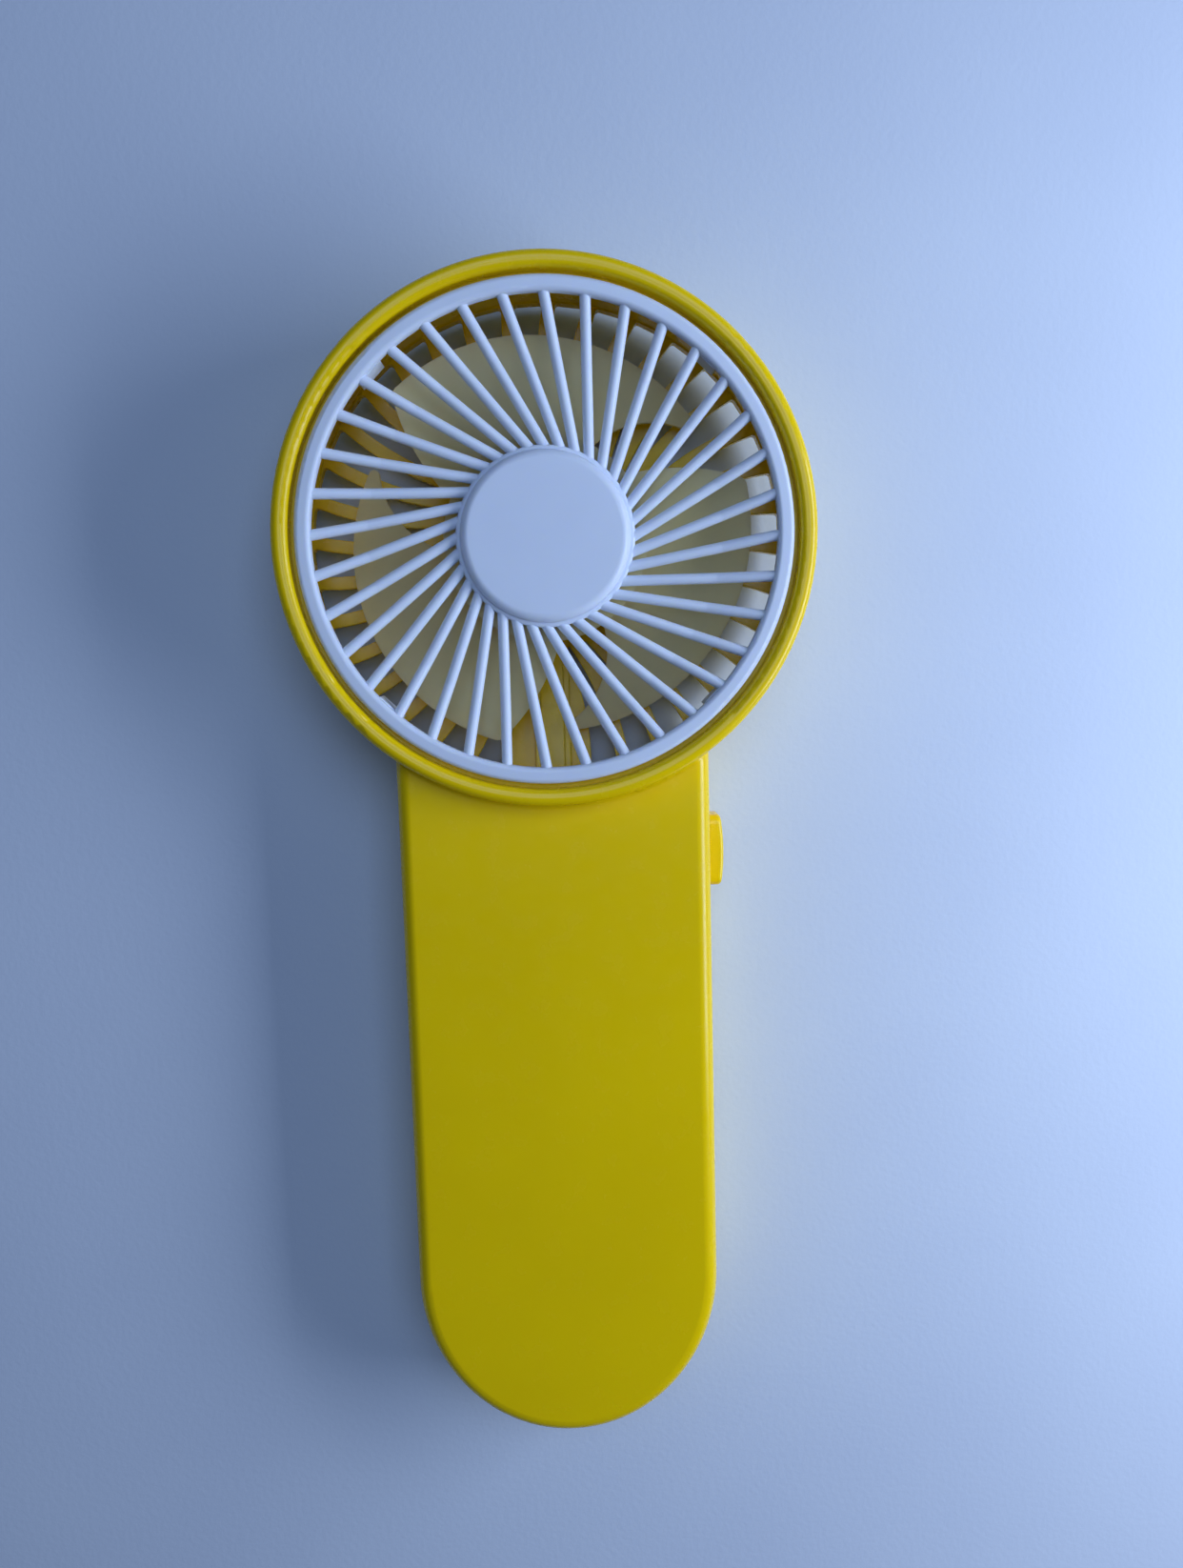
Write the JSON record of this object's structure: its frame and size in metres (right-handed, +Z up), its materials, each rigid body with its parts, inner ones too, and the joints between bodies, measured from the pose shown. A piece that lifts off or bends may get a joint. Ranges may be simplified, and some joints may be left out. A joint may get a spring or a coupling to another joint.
{
  "type": "handheld electric fan",
  "caption": "Slim handheld electric fan: round yellow head with a white spoked guard and translucent impeller, on a flat rounded handle with a side push button.",
  "frame": {"origin": "middle of the handle's flat back face", "axes": "+Z up the handle towards the head, +X right seen from the front, -Y the way the air leaves"},
  "size_m": [0.09, 0.0247, 0.2065],
  "materials": {
    "yellow_plastic": "semi-gloss moulded lemon-yellow plastic",
    "white_plastic": "satin moulded white plastic",
    "milky_plastic": "matte translucent milky plastic",
    "steel": "plated steel",
    "bronze": "oil-filled sintered bronze",
    "ferrite": "dark ferrite magnet",
    "copper": "enamelled copper",
    "black_plastic": "black moulded plastic",
    "board_green": "green solder-mask board",
    "wire_red": "red insulation",
    "wire_black": "black insulation",
    "cell_wrap": "silver-grey laminate pouch",
    "foam": "closed-cell foam",
    "clear_plastic": "frosted clear light guide"
  },
  "bodies": {
    "body": {"front_shell": "yellow_plastic", "rear_shell": "yellow_plastic", "wire_cover": "yellow_plastic", "front_grille": "white_plastic", "motor_can": "steel", "motor_end_cap": "black_plastic", "motor_magnets": "ferrite", "motor_bushes": "bronze", "motor_brushes": "copper", "motor_wire_red": "wire_red", "motor_wire_black": "wire_black", "switch_body": "black_plastic", "circuit_board": "board_green", "board_components": "black_plastic", "board_screws": "steel", "usb_port": "steel", "charge_light": "clear_plastic", "charge_led": "clear_plastic", "battery_cell": "cell_wrap", "battery_pads": "foam", "battery_wire_red": "wire_red", "battery_wire_black": "wire_black", "shell_screws": "steel"},
    "rotor": {"impeller": "milky_plastic", "motor_shaft": "steel", "armature_core": "steel", "armature_windings": "copper", "commutator": "copper"},
    "button": {"power_button": "yellow_plastic", "switch_plunger": "black_plastic"}
  },
  "joints": [
    {"name": "fan_spin", "type": "hinge", "parent": "body", "child": "rotor", "pos_m": [0, -0.01, 0.103], "axis": [0, 1, 0], "continuous": true},
    {"name": "button_press", "type": "slide", "parent": "body", "child": "button", "axis": [-1, 0, 0], "range_m": [0, 0.0006], "stiffness_N_per_m": 1500, "springref_m": -0.0003}
  ]
}
